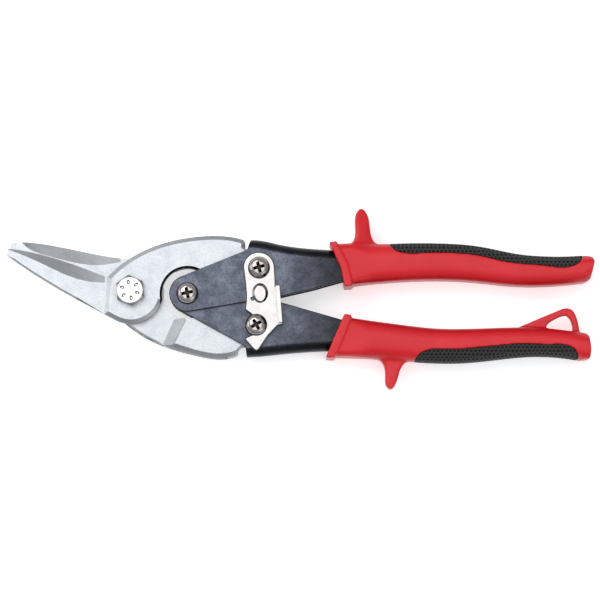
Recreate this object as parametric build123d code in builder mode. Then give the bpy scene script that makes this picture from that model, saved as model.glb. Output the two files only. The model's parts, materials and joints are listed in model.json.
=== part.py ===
"""Aviation snips: two forged jaws, two pressed handles, a swinging latch and a return spring."""
from build123d import *
from math import cos, radians, sin
import os

os.makedirs("parts", exist_ok=True)

# The tool lies on its back, blades towards -X, grips towards +X.  The origin is on the main
# pivot at the resting surface.  Levels below are heights above the plane the blades shear in.
SHEAR_Z = 9.0  # height of the shear plane above the resting surface
PLAY = 0.05  # gap left on each side of a face that slides
FIT = 0.02  # radial gap of a shank in a hole that it does not turn in
SHEET = 1.8  # thickness of the pressed handle plates
JAW_T = 4.2  # each forged jaw at its hub
BLADE_T = 3.3  # each blade
TAIL_INNER = 2.3  # how far a tail is forged back across the shear plane
INNER_PLATE = 2.4  # level of the inner pair of plates' near faces
OUTER_PLATE = 4.3  # level of the outer pair of plates' near faces
PLATE_TOP = OUTER_PLATE + SHEET

# Linkage: a kite whose long diagonal leans slightly from the X axis.
KITE_LEAN = -2.7
NOSE_ALONG = 24.3
TAIL_ALONG = 54.1
TAIL_ACROSS = 12.16

NOSE_R = 7.7
RECESS_R = 11.0
TAIL_BOSS_R = 7.4
RIM = 0.85  # sloped rim round the forgings
LEDGE = 0.6  # how far the thick part of a tail stays inside the forging's outline
GROUND = 0.4  # fall of a ground bevel, per mm
TAIL_RAMP = 4.6  # width of the ramp from a hub up to its thick tail
TAIL_RIM = 0.9  # sloped rim round the thick tails

BOLT_R = 4.0
BOLT_HEAD_AF = 11.4
BOLT_HEAD_T = 4.6
BOLT_TURN = 36
MARK_RING_R = 3.4
MARK_LENGTH = 1.9
MARK_WIDTH = 0.8
MARK_DEPTH = 0.3
SCREW_R = 2.5
SHOULDER_R = 3.0
SCREW_HEAD_R = 4.7
SCREW_HEAD_T = 3.1
BUSH_R = 3.9
COLLAR_R = 2.9
NUT_AF = 8.0
NOSE_PLAY = 0.3  # the lower handle's nose holes are open by this much
SPRING_R = 5.3
SPRING_WIRE_R = 0.5
SPRING_PITCH = 1.1
SPRING_TURNS = 2.5
SPRING_LEG = 11.5

LATCH_BOTTOM = PLATE_TOP + 0.1
LATCH_T = 1.5
LATCH_TOP = LATCH_BOTTOM + LATCH_T
LATCH_END_R = 6.6
HEAD_SEAT = LATCH_TOP + 0.1
TAB_RISE = 6.0
BOSS = (55.1, -1.2)
BOSS_RISE = 1.1
BOSS_TAPER = 48  # slope of the boss's sides, in degrees from upright
PEEP_HOLE = (51.9, -3.6)
PEEP_R = 0.9

WEB_BEND_R = 4.4
HANDLE_END = 140.0  # where the channels end inside the grips
GRIP_HALF = 9.0
GRIP_EDGE_R = 3.0
GUARD_HALF = 6.5
LOOP_HALF = 3.0
GUARD_TIP_R = 2.3
POCKET_PLAY = 0.1


def level(height):
    """Horizontal plane at a height above the shear plane."""
    return Plane.XY.offset(SHEAR_Z + height)


def kite(along, across):
    """Point of the linkage, along and across its line of symmetry."""
    lean = radians(KITE_LEAN)
    return (along * cos(lean) - across * sin(lean), along * sin(lean) + across * cos(lean))


PIVOT = (0, 0)
NOSE = kite(NOSE_ALONG, 0)
UPPER_TAIL = kite(TAIL_ALONG, TAIL_ACROSS)
LOWER_TAIL = kite(TAIL_ALONG, -TAIL_ACROSS)


def drill(centre, radius):
    """Vertical hole right through the part being built."""
    with Locations((*centre, SHEAR_Z)):
        Hole(radius)


def grind(face, slope, side, stations):
    """Ground surface lofted along a blade: face level, fall per mm, side it falls to (+1 up, -1 down).

    Each station is the distance along X, the line where the grinding starts, and the blade's edge.
    """
    sections = []
    for along, start, edge in stations:
        reach = edge - start + (1.5 if edge > start else -1.5)
        base, clear = SHEAR_Z + face, SHEAR_Z + face + side
        section = Polyline((along, start, base), (along, start + reach, base - side * slope * abs(reach)),
                           (along, start + reach, clear), (along, start, clear), close=True)
        sections.append(Face(Wire(section.edges())))
    return Solid.make_loft([section.outer_wire() for section in sections])


def ramp_wedge(foot_a, foot_b, low, high):
    """Wedge that cuts a thick tail down to its hub; the ramp rises to the right of the line of its foot."""
    foot = Vector(*foot_b) - Vector(*foot_a)
    across = Vector(-foot.Y, foot.X).normalized()
    section = Plane(origin=(*foot_a, SHEAR_Z), x_dir=across, z_dir=foot)
    with BuildPart() as wedge:
        with BuildSketch(section):
            Polygon((0, low), (TAIL_RAMP, high), (TAIL_RAMP, high + 2), (-TAIL_RAMP, high + 2),
                    (-TAIL_RAMP, low), align=None)
        extrude(amount=3 * foot.length, both=True)
    return wedge.part


def rim_edges(shape, height, around):
    """Curved and straight edges of a flat top or bottom face that pass the test."""
    flat = [e for e in shape.edges() if abs(e.bounding_box().max.Z - SHEAR_Z - height) < 0.001
            and abs(e.bounding_box().min.Z - SHEAR_Z - height) < 0.001]
    return [e for e in flat if around(e.center())]


# ---------------------------------------------------------------- front jaw
FRONT_BEVEL = grind(BLADE_T, GROUND, 1, [(-53.0, 18.2, 18.3), (-49.0, 16.6, 18.0), (-38.6, 12.2, 15.8),
                                         (-29.6, 7.9, 13.4), (-18.8, 4.3, 9.3), (-10.9, 3.6, 6.4)])
FRONT_RELIEF = grind(PLAY, 0.2, -1, [(-48.0, 13.2, 12.0), (-38.0, 10.4, 5.4), (-28.0, 6.2, -0.5),
                                     (-19.0, 1.0, -5.8), (-13.5, -4.5, -8.6)])
TAIL_TOP = [(26.0, 22.9), (44.0, 22.8), (48.0, 21.8)]
TAIL_UNDER = [(48.0, 21.8), (48.7, 20.6), (48.7, 18.2), (52.0, 16.0), (50.5, 2.8), (33.0, 4.6)]
with BuildPart() as front_jaw:
    with BuildSketch(level(PLAY)):
        with BuildLine():
            Spline((-52.2, 18.1), (-34.0, 14.6), (-22.7, 10.9), (-9.8, 5.8))
            Polyline((-9.8, 5.8), (2, 4), (2, -12.0), (-6.3, -12.2))
            Spline((-6.3, -12.2), (-11.0, -9.7), (-23.8, -2.9), (-34.4, 3.2), (-52.8, 15.4))
            Line((-52.8, 15.4), (-52.2, 18.1))
        make_face()
    extrude(amount=BLADE_T - PLAY)
    with BuildSketch(level(PLAY)):
        with BuildLine():
            Line((-11.0, -9.7), (-9.8, 5.8))
            Spline((-9.8, 5.8), (-4.4, 10.9), (8.6, 18.5), *TAIL_TOP)
            Polyline(*TAIL_UNDER, (13.5, -3.3))
            ThreePointArc((13.5, -3.3), (6.6, -12.23), (-6.3, -12.2))
            Line((-6.3, -12.2), (-11.0, -9.7))
        make_face()
        with Locations(UPPER_TAIL):
            Circle(TAIL_BOSS_R)
        with Locations(NOSE):
            Circle(RECESS_R, mode=Mode.SUBTRACT)
    extrude(amount=JAW_T - PLAY)
    with BuildSketch(level(-TAIL_INNER)):
        with BuildLine():
            Spline((14.6, 20.0), *[(x, y - LEDGE) for x, y in TAIL_TOP])
            Polyline((48.0, 21.8 - LEDGE), *TAIL_UNDER[2:], (19.0, 8.6), (14.6, 20.0))
        make_face()
        with Locations(UPPER_TAIL):
            Circle(TAIL_BOSS_R)
        with Locations(NOSE):
            Circle(RECESS_R, mode=Mode.SUBTRACT)
    extrude(amount=TAIL_INNER + 1)
    chamfer(rim_edges(front_jaw.part, JAW_T, lambda c: c.X < 30 or c.Y > 19), length=RIM)
    add(FRONT_BEVEL, mode=Mode.SUBTRACT)
    add(FRONT_RELIEF, mode=Mode.SUBTRACT)
    drill(PIVOT, BOLT_R + FIT)
    drill(UPPER_TAIL, BUSH_R + PLAY)
front_jaw.part.label = "front_jaw"
export_step(front_jaw.part, "parts/front_jaw.step")

# ---------------------------------------------------------------- rear jaw
REAR_RELIEF = grind(-PLAY, 0.22, 1, [(-46.5, 21.0, 21.3), (-39.6, 16.6, 20.6), (-30.0, 13.9, 19.0),
                                     (-21.0, 11.9, 17.4), (-12.3, 11.5, 16.0), (-4.5, 12.7, 14.8)])
REAR_BEVEL = grind(-BLADE_T, GROUND, -1, [(-52.0, 17.2, 16.3), (-40.0, 17.0, 13.9), (-30.0, 15.4, 11.2),
                                          (-20.0, 12.0, 7.3), (-11.6, 8.0, 3.6)])
LOWER_END = [(45.4, -27.2), (45.9, -24.8), (47.1, -23.7), (50.0, -23.7), (52.0, -22.0), (50.0, -8.2)]
LOWER_EDGE = [(45.4, -27.2), (43.6, -27.9), (26.6, -26.9), (12.4, -22.6)]
LOWER_UNDER_EDGE = [(x, y + LEDGE) for x, y in (*LOWER_EDGE[:3], (13.9, -23.1))]
with BuildPart() as rear_tail:
    with BuildSketch(level(-1)):
        with BuildLine():
            Polyline((18.3, -12.0), (33.0, -9.5), *reversed(LOWER_END[1:]), LOWER_UNDER_EDGE[0])
            Spline(*LOWER_UNDER_EDGE)
            Line(LOWER_UNDER_EDGE[-1], (18.3, -12.0))
        make_face()
        with Locations(LOWER_TAIL):
            Circle(TAIL_BOSS_R)
        with Locations(NOSE):
            Circle(RECESS_R - 0.6, mode=Mode.SUBTRACT)
    extrude(amount=TAIL_INNER + 1)
    chamfer(rear_tail.edges().filter_by(GeomType.BSPLINE).group_by(Axis.Z)[-1], length=TAIL_RIM)
    add(ramp_wedge((17.9, -12.0), (13.5, -21.1), -PLAY, TAIL_INNER), mode=Mode.SUBTRACT)
with BuildPart() as rear_jaw:
    with BuildSketch(level(-BLADE_T)):
        with BuildLine():
            Spline((-51.2, 21.2), (-45.0, 21.2), (-23.8, 17.9), (1.0, 13.9))
            Polyline((1.0, 13.9), (2, 0), (-8, -6), (-11.5, 3.6))
            Spline((-11.5, 3.6), (-22.7, 8.4), (-34.0, 12.4), (-51.9, 16.4))
            Line((-51.9, 16.4), (-51.2, 21.2))
        make_face()
    extrude(amount=BLADE_T - PLAY)
    with BuildSketch(level(-JAW_T)):
        with BuildLine():
            ThreePointArc((1.0, 13.9), (9.6, 10.1), (13.9, 1.2))
            Polyline((13.9, 1.2), (33.0, -9.5), *reversed(LOWER_END))
            Spline(*LOWER_EDGE, (1.1, -16.2), (-6.5, -9.5))
            Polyline((-6.5, -9.5), (-10.5, -2.0), (-10.8, 3.3))
            Polyline((-10.8, 3.3), (-9.6, 14.8), (0.2, 13.2), (1.0, 13.9))
        make_face()
        with Locations(LOWER_TAIL):
            Circle(TAIL_BOSS_R)
        with Locations(NOSE):
            Circle(RECESS_R - 0.6, mode=Mode.SUBTRACT)
    extrude(amount=JAW_T - PLAY)
    add(rear_tail.part)
    add(REAR_RELIEF, mode=Mode.SUBTRACT)
    add(REAR_BEVEL, mode=Mode.SUBTRACT)
    drill(PIVOT, BOLT_R + PLAY)
    drill(LOWER_TAIL, BUSH_R + PLAY)
rear_jaw.part.label = "rear_jaw"
export_step(rear_jaw.part, "parts/rear_jaw.step")


# ---------------------------------------------------------------- fasteners
def hexagon_bar(centre, across_flats, seat, free, turn, hole_r):
    """Hexagon from its seat to its free end, where its corners are turned off; bored if hole_r."""
    height = abs(free - seat)
    tip_r = across_flats * 0.48
    up = free > seat
    with BuildPart() as bar:
        with BuildSketch(level(min(seat, free))):
            with Locations(centre):
                RegularPolygon(across_flats / 2, 6, major_radius=False, rotation=turn)
        extrude(amount=height)
        with Locations((*centre, SHEAR_Z + seat)):
            Cone(tip_r + height * 1.7, tip_r, height, rotation=(0 if up else 180, 0, 0),
                 align=(Align.CENTER, Align.CENTER, Align.MIN), mode=Mode.INTERSECT)
        if hole_r:
            drill(centre, hole_r)
    return bar.part


def post(centre, radius, bottom, top, hole_r=0):
    """Round shank, bush or collar between two levels, with a bore when hole_r is given."""
    with BuildPart() as rod:
        with BuildSketch(level(bottom)):
            with Locations(centre):
                Circle(radius)
                if hole_r:
                    Circle(hole_r, mode=Mode.SUBTRACT)
        extrude(amount=top - bottom)
    return rod.part


def pan_screw(centre, seat, bottom, turn):
    """Pan-head screw with a cross recess, its head seated at a level."""
    with BuildPart() as screw:
        add(post(centre, SCREW_R, bottom, seat + 0.5))
        with BuildSketch(level(seat)):
            with Locations(centre):
                Circle(SCREW_HEAD_R)
        extrude(amount=SCREW_HEAD_T)
        fillet(screw.edges().group_by(Axis.Z)[-1], radius=2.2)
        with BuildSketch(level(seat + SCREW_HEAD_T - 1.6)):
            with Locations(Location((*centre, 0), (0, 0, turn))):
                Rectangle(4.7, 1.2)
                Rectangle(1.2, 4.7)
        extrude(amount=2, mode=Mode.SUBTRACT)
    return screw.part



FLOOR = -SHEAR_Z
BOLT_TOP = JAW_T + BOLT_HEAD_T
with BuildPart() as pivot_bolt:
    add(hexagon_bar(PIVOT, BOLT_HEAD_AF, JAW_T, BOLT_TOP, BOLT_TURN, 0))
    add(post(PIVOT, BOLT_R, FLOOR, JAW_T + 1))
    with BuildSketch(level(BOLT_TOP - MARK_DEPTH)):
        with PolarLocations(MARK_RING_R, 6, start_angle=BOLT_TURN + 4):
            SlotOverall(MARK_LENGTH, MARK_WIDTH)
    extrude(amount=2 * MARK_DEPTH, mode=Mode.SUBTRACT)
with BuildPart() as pivot_nut:
    add(hexagon_bar(PIVOT, BOLT_HEAD_AF, -JAW_T - PLAY, FLOOR, BOLT_TURN, BOLT_R + FIT))
with BuildPart() as nose_screw:
    add(pan_screw(NOSE, PLATE_TOP, FLOOR, 12))
with BuildPart() as nose_nut:
    add(hexagon_bar(NOSE, NUT_AF, -PLATE_TOP - PLAY, FLOOR, 10, SCREW_R + FIT))
with BuildPart() as nose_bush:
    add(post(NOSE, BUSH_R, -INNER_PLATE, INNER_PLATE - PLAY, SCREW_R + FIT))
with BuildPart() as upper_tail_screw:
    add(pan_screw(UPPER_TAIL, HEAD_SEAT, FLOOR, 15))
    add(post(UPPER_TAIL, SHOULDER_R, PLATE_TOP, HEAD_SEAT + 0.5))
with BuildPart() as upper_tail_nut:
    add(hexagon_bar(UPPER_TAIL, NUT_AF, -INNER_PLATE - SHEET, FLOOR, 0, SCREW_R + FIT))
with BuildPart() as upper_tail_bush:
    add(post(UPPER_TAIL, BUSH_R, -INNER_PLATE, OUTER_PLATE, SCREW_R + FIT))
with BuildPart() as lower_tail_screw:
    add(pan_screw(LOWER_TAIL, HEAD_SEAT, FLOOR, 30))
with BuildPart() as lower_tail_nut:
    add(hexagon_bar(LOWER_TAIL, NUT_AF, -PLATE_TOP, FLOOR, 0, SCREW_R + FIT))
with BuildPart() as lower_tail_bush:
    add(post(LOWER_TAIL, BUSH_R, -OUTER_PLATE, INNER_PLATE, SCREW_R + FIT))
with BuildPart() as keeper_collar:
    add(post(LOWER_TAIL, COLLAR_R, INNER_PLATE + SHEET, HEAD_SEAT, SCREW_R + FIT))

# ---------------------------------------------------------------- return spring
COIL_HEIGHT = SPRING_PITCH * SPRING_TURNS
with BuildPart() as wound:
    with BuildLine() as coil:
        Helix(SPRING_PITCH, COIL_HEIGHT, SPRING_R, lefthand=True)
    with BuildSketch(coil.line ^ 0):
        Circle(SPRING_WIRE_R)
    sweep(is_frenet=True)
    for tip in wound.faces().filter_by(GeomType.PLANE):
        extrude(tip, amount=SPRING_LEG)
with BuildPart() as return_spring:
    with Locations(Location((*NOSE, SHEAR_Z - COIL_HEIGHT / 2), (0, 0, -90 + KITE_LEAN))):
        add(wound.part)

# ---------------------------------------------------------------- handles
# Each handle is one pressing: two plates joined by a web along its outer edge.
UPPER_WEB = [(51.0, 21.9), (57.1, 21.4), (62.8, 20.1), (72.0, 18.6), (84.8, 17.6), (108.0, 15.2),
             (HANDLE_END, 14.5)]
LOWER_WEB = [(49.4, -28.0), (55.7, -27.6), (66.3, -26.5), (83.3, -25.4), (108.0, -24.4),
             (HANDLE_END, -23.6)]


def channel(web, inward, front, under, nose_top, nose_bottom, low, high):
    """Pressed channel between two levels: two plates and the bent web that joins them."""
    spring_line = [(x, y + inward * SHEET) for x, y in web]
    beyond = HANDLE_END + 5
    with BuildPart() as hollow:
        with BuildSketch(level(low)):
            with BuildLine():
                Spline(*spring_line)
                Polyline(spring_line[-1], (beyond, spring_line[-1][1]), (beyond, inward * 60),
                         (0, inward * 60), (0, spring_line[0][1]), spring_line[0])
            make_face()
        extrude(amount=high - low)
    with BuildPart() as pressing:
        with BuildSketch(level(low - SHEET)):
            with BuildLine():
                Spline(*web)
                Polyline(web[-1], *under)
                Line(under[-1], nose_bottom)
                ThreePointArc(nose_bottom, (NOSE[0] - NOSE_R, NOSE[1]), nose_top)
                Polyline(nose_top, front, web[0])
            make_face()
        extrude(amount=high - low + 2 * SHEET)
        fillet(pressing.edges().filter_by(GeomType.BSPLINE), radius=WEB_BEND_R)
        add(hollow.part, mode=Mode.SUBTRACT)
    return pressing.part


UPPER_UNDER = [(HANDLE_END, 8.4), (108.0, 7.0), (90.4, 4.3), (77.7, 0.7), (64.2, -2.4), (48.6, -4.9)]
LOWER_UNDER = [(HANDLE_END, -18.0), (108.0, -17.0), (89.4, -12.1), (64.2, -4.9), (50.0, -1.9)]
with BuildPart() as upper_handle:
    add(channel(UPPER_WEB, -1, (49.6, 17.4), UPPER_UNDER, (21.2, 5.9), (25.9, -8.7),
                -INNER_PLATE, OUTER_PLATE))
    drill(NOSE, SCREW_R + FIT)
    drill(UPPER_TAIL, SCREW_R + FIT)
with BuildPart() as lower_handle:
    add(channel(LOWER_WEB, 1, (48.9, -23.6), LOWER_UNDER, (20.2, -7.7), (26.5, 6.2),
                -OUTER_PLATE, INNER_PLATE))
    drill(NOSE, SCREW_R + NOSE_PLAY)
    drill(LOWER_TAIL, SCREW_R + FIT)

# ---------------------------------------------------------------- latch
# The notch holds the collar; its lower lip is a ramp, so that the collar slides out as the
# latch swings away.
NOTCH_R = COLLAR_R + 0.2
RAMP = 26
ramp_start = (LOWER_TAIL[0] + NOTCH_R * sin(radians(RAMP)), LOWER_TAIL[1] - NOTCH_R * cos(radians(RAMP)))
ramp_run = ramp_start[0] - 49.0
ramp_end = (49.0, ramp_start[1] - ramp_run * sin(radians(RAMP)) / cos(radians(RAMP)))
notch_side = (LOWER_TAIL[0] + NOTCH_R, LOWER_TAIL[1])
notch_top = (LOWER_TAIL[0] - 0.6, LOWER_TAIL[1] + (NOTCH_R**2 - 0.36) ** 0.5)
with BuildPart() as latch_plate:
    with BuildSketch(level(LATCH_BOTTOM)):
        with BuildLine():
            left, right = UPPER_TAIL[0] - LATCH_END_R, UPPER_TAIL[0] + LATCH_END_R
            ThreePointArc((right, UPPER_TAIL[1]), (UPPER_TAIL[0], UPPER_TAIL[1] + LATCH_END_R),
                          (left, UPPER_TAIL[1]))
            Spline((left, UPPER_TAIL[1]), (48.6, 5.0), (49.2, -1.0), (48.8, -8.2))
            Polyline((48.8, -8.2), (52.1, -10.6), notch_top)
            ThreePointArc(notch_top, notch_side, ramp_start)
            Polyline(ramp_start, ramp_end, (49.0, -21.2), (52.4, -25.0), (53.6, -25.7), (54.6, -25.0),
                     (58.5, -19.4), (62.4, -14.6), (64.4, -14.2), (63.0, 1.4), (right, 1.4),
                     (right, UPPER_TAIL[1]))
        make_face()
    extrude(amount=LATCH_T)
    with BuildSketch(level(LATCH_BOTTOM)):
        Polygon((61.8, 1.4), (63.3, 1.4), (64.5, -14.0), (63.0, -14.0), align=None)
    extrude(amount=LATCH_T + TAB_RISE)
    with BuildSketch(level(LATCH_TOP)):
        with Locations(BOSS):
            Ellipse(3.4, 4.2)
    extrude(amount=BOSS_RISE, taper=BOSS_TAPER)
    drill(PEEP_HOLE, PEEP_R)
    drill(UPPER_TAIL, SHOULDER_R + PLAY)

# ---------------------------------------------------------------- grips
UPPER_TOP = [(87.0, 19.8), (96.0, 20.2), (106.0, 20.0), (116.0, 20.3), (131.0, 20.3), (148.6, 18.9),
             (164.2, 15.8), (174.8, 14.8), (192.2, 15.1)]
UPPER_INNER = [(193.0, 3.8), (178.4, 2.4), (164.2, 2.3), (146.5, 4.0), (125.2, 4.7), (105.3, 3.6),
               (93.5, 2.4)]
LOWER_INNER = [(92.6, -11.4), (105.3, -13.1), (114.5, -14.3), (128.7, -15.9), (150.0, -15.9),
               (169.9, -15.5), (193.3, -18.0)]
LOWER_OUTER = [(190.5, -29.3), (181.9, -28.0), (171.3, -27.6), (150.0, -29.6), (139.4, -30.4),
               (120.6, -29.9), (104.0, -28.7), (86.0, -28.0)]
UPPER_COLLAR = [(84.3, 20.5), (87.7, 20.8), (87.9, 19.0), (91.9, 11.4), (94.4, 1.7), (90.8, 1.4),
                (89.2, 9.6)]
LOWER_COLLAR = [(90.8, -10.0), (94.0, -10.6), (90.4, -19.8), (86.4, -28.8), (82.8, -28.7), (86.2, -20.5)]
UPPER_GUARD = [(93.0, 19.5), (94.9, 21.7), (95.5, 26.3), (95.7, 32.7)]
UPPER_GUARD_END = [(100.5, 32.7), (101.8, 26.3), (103.2, 21.5), (106.0, 19.5)]
LOWER_GUARD = [(104.5, -28.5), (107.8, -32.2), (108.1, -36.5), (108.1, -39.4)]
LOWER_GUARD_END = [(112.6, -39.4), (113.6, -36.5), (114.9, -32.6), (118.0, -29.5)]
UPPER_PAD = [(110.0, 19.9), (112.4, 17.1), (115.0, 16.1), (126.6, 16.0), (137.2, 15.8), (148.6, 14.6),
             (155.0, 13.0), (164.2, 11.4), (174.8, 10.6), (188.5, 10.7), (190.6, 12.1), (192.0, 14.9)]
LOWER_PAD = [(120.6, -29.8), (122.3, -27.2), (125.6, -25.5), (135.8, -25.0), (146.5, -24.3), (157.1, -23.3),
             (167.7, -22.6), (177.0, -23.0), (185.5, -23.5), (188.3, -25.1), (189.7, -29.0)]


def slab(curves, lines, half, edge_r=0):
    """Closed outline of curves and straight runs, thickened to both sides of the mid plane."""
    with BuildPart() as block:
        with BuildSketch(level(-half)):
            with BuildLine():
                for points in curves:
                    Spline(*points)
                for points in lines:
                    Polyline(*points)
            make_face()
        extrude(amount=2 * half)
        if edge_r:
            long_edges = block.faces().filter_by(Axis.Z).edges().filter_by(GeomType.BSPLINE)
            fillet(long_edges, radius=edge_r)
    return block.part


def pocket(web, under, outward, low, high):
    """Room for a handle's channel inside its grip."""
    with BuildPart() as room:
        with BuildSketch(level(low - POCKET_PLAY)):
            with BuildLine():
                Spline(*[(x + POCKET_PLAY, y + outward * POCKET_PLAY) for x, y in web])
                Polyline((web[-1][0] + POCKET_PLAY, web[-1][1] + outward * POCKET_PLAY),
                         *[(x + POCKET_PLAY, y - outward * POCKET_PLAY) for x, y in under[:4]],
                         (web[0][0] + POCKET_PLAY, web[0][1] + outward * POCKET_PLAY))
            make_face()
        extrude(amount=high - low + 2 * POCKET_PLAY)
    return room.part


def pad_region(border, outward):
    """Everything outside a pad's inner border, right through the grip."""
    far = [(border[-1][0] + 0.2, 40 * outward), (border[0][0] - 0.2, 40 * outward)]
    with BuildPart() as region:
        with BuildSketch(level(-GRIP_HALF - 1)):
            with BuildLine():
                Spline(*border)
                Polyline(border[-1], *far, border[0])
            make_face()
        extrude(amount=2 * GRIP_HALF + 2)
    return region.part


BODY_HALF = GRIP_HALF - 0.4
UPPER_ENDS = [[(192.2, 15.1), (196.1, 14.6), (197.0, 12.5), (195.2, 5.0), (193.0, 3.8)],
              [(93.5, 2.4), (87.0, 19.8)]]
LOWER_ENDS = [[(193.3, -18.0), (194.5, -19.1), (195.2, -24.8), (194.8, -28.8), (190.5, -29.3)],
              [(86.0, -28.0), (92.6, -11.4)]]
LOOP_OUTER = [(163.0, -15.9), (173.4, -11.6), (181.9, -8.1), (184.8, -7.2), (187.6, -7.9), (189.0, -9.9),
              (190.1, -13.4), (191.2, -18.5)]
LOOP_HOLE = [(177.2, -15.9), (176.3, -15.1), (178.0, -13.1), (182.6, -10.7), (185.1, -10.2), (186.9, -12.0),
             (187.8, -14.8), (187.8, -17.2)]


def grip(edges, ends, collar, guard, guard_end, room):
    """Moulded grip: body, front collar and finger guard, with the pocket for the handle."""
    reach = 1 if guard[-1][1] > guard[0][1] else -1
    tip = ((guard[-1][0] + guard_end[0][0]) / 2, guard[-1][1] + reach * GUARD_TIP_R)
    with BuildPart() as moulding:
        add(slab(edges, ends, BODY_HALF, GRIP_EDGE_R))
        add(slab([], [[*collar, collar[0]]], GRIP_HALF))
        add(slab([guard, (guard[-1], tip, guard_end[0]), guard_end], [(guard_end[-1], guard[0])],
                 GUARD_HALF))
        add(room, mode=Mode.SUBTRACT)
    return moulding.part


with BuildPart() as upper_whole:
    add(grip([UPPER_TOP, UPPER_INNER], UPPER_ENDS, UPPER_COLLAR, UPPER_GUARD, UPPER_GUARD_END,
             pocket(UPPER_WEB, UPPER_UNDER, 1, -INNER_PLATE - SHEET, PLATE_TOP)))
with BuildPart() as lower_whole:
    add(grip([LOWER_INNER, LOWER_OUTER], LOWER_ENDS, LOWER_COLLAR, LOWER_GUARD, LOWER_GUARD_END,
             pocket(LOWER_WEB, LOWER_UNDER, -1, -PLATE_TOP, INNER_PLATE + SHEET)))
    add(slab([LOOP_OUTER], [(LOOP_OUTER[-1], LOOP_OUTER[0])], LOOP_HALF))
    with BuildSketch(level(-GRIP_HALF)):
        Polygon(*LOOP_HOLE, align=None)
    extrude(amount=2 * GRIP_HALF, mode=Mode.SUBTRACT)
upper_region = pad_region(UPPER_PAD, 1)
lower_region = pad_region(LOWER_PAD, -1)
with BuildPart() as upper_grip:
    add(upper_whole.part)
    add(upper_region, mode=Mode.SUBTRACT)
with BuildPart() as upper_grip_pad:
    add(upper_whole.part)
    add(upper_region, mode=Mode.INTERSECT)
with BuildPart() as lower_grip:
    add(lower_whole.part)
    add(lower_region, mode=Mode.SUBTRACT)
with BuildPart() as lower_grip_pad:
    add(lower_whole.part)
    add(lower_region, mode=Mode.INTERSECT)

for name, piece in (
    ("pivot_bolt", pivot_bolt), ("pivot_nut", pivot_nut), ("nose_screw", nose_screw),
    ("nose_nut", nose_nut), ("nose_bush", nose_bush), ("upper_tail_screw", upper_tail_screw),
    ("upper_tail_nut", upper_tail_nut), ("upper_tail_bush", upper_tail_bush),
    ("lower_tail_screw", lower_tail_screw), ("lower_tail_nut", lower_tail_nut),
    ("lower_tail_bush", lower_tail_bush), ("keeper_collar", keeper_collar),
    ("return_spring", return_spring), ("upper_handle", upper_handle), ("lower_handle", lower_handle),
    ("latch_plate", latch_plate), ("upper_grip", upper_grip), ("upper_grip_pad", upper_grip_pad),
    ("lower_grip", lower_grip), ("lower_grip_pad", lower_grip_pad),
):
    piece.part.label = name
    export_step(piece.part, f"parts/{name}.step")
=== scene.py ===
"""Aviation snips dressed for the studio: forged jaws, pressed handles, moulded grips, bright hardware."""
import json
import logging
import math
from dataclasses import dataclass, field
from enum import Enum
from typing import Callable

import bmesh
import bpy
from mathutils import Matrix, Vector

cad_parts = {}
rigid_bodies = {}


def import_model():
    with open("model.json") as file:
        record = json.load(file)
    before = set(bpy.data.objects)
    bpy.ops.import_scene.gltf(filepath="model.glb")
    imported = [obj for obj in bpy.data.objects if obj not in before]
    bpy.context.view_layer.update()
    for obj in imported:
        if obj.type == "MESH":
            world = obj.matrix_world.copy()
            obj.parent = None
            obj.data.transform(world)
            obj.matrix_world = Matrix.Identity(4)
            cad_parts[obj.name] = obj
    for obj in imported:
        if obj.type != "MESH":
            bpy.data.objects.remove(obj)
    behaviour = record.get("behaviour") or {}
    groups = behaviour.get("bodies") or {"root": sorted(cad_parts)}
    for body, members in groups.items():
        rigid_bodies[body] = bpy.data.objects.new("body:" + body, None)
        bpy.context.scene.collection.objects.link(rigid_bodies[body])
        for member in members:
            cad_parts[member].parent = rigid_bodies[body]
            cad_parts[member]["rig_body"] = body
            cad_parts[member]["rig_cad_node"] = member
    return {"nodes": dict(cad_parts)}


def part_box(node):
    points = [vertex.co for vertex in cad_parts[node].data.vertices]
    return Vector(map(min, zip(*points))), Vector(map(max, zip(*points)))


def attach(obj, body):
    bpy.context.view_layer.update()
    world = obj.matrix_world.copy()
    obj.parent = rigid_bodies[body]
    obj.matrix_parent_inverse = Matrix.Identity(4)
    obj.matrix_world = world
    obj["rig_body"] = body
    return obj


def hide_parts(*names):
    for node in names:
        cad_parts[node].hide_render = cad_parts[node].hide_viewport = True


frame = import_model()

MM = 0.001
SIX_SIDES = 6
FINE_ROUND = 72
SAME_LEVEL = 0.004 * MM
SAME_SPOT = 0.001 * MM
UPRIGHT = 0.2
FACING = 0.9
EASE = 0.5

SHEAR_LEVEL = 8.95 * MM
REAR_TAIL_TOP = 11.3 * MM
BLADE_TOP = 12.3 * MM
HUB_TOP = 13.2 * MM
BOLT_TOP = 17.8 * MM
UPPER_GUARD_ROOT = (98.6, 21.5, 9)
LOWER_GUARD_ROOT = (111.0, -31.0, 9)

Triple = tuple[float, float, float]
Colour = Triple
Stops = tuple[tuple[float, Colour], ...]
Piece = bpy.types.Object
FaceTest = Callable[[Vector, Vector], bool]
EdgeTest = Callable[[Vector, Vector], bool]
SpotTest = Callable[[Vector], bool]

log = logging.getLogger("snips")


# ------------------------------------------------------------------ bench tools
class Cut(Enum):
    """How a tool solid acts on a piece."""

    AWAY = "DIFFERENCE"
    KEEP_SHARED = "INTERSECT"
    JOIN = "UNION"


def put_down() -> None:
    """Deselect every object."""
    bpy.ops.object.select_all(action="DESELECT")


def take_up(*pieces: Piece) -> None:
    """Select these pieces only, the first of them active.

    Args:
        pieces: the pieces to work on.
    """
    put_down()
    for piece in pieces:
        piece.select_set(True)
    bpy.context.view_layer.objects.active = pieces[0]


def newest(name: str) -> Piece:
    """Name the primitive that was just added.

    Args:
        name: the piece's name.

    Returns:
        The new piece.
    """
    piece = bpy.context.object
    piece.name = name
    piece.data.name = name
    return piece


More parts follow.
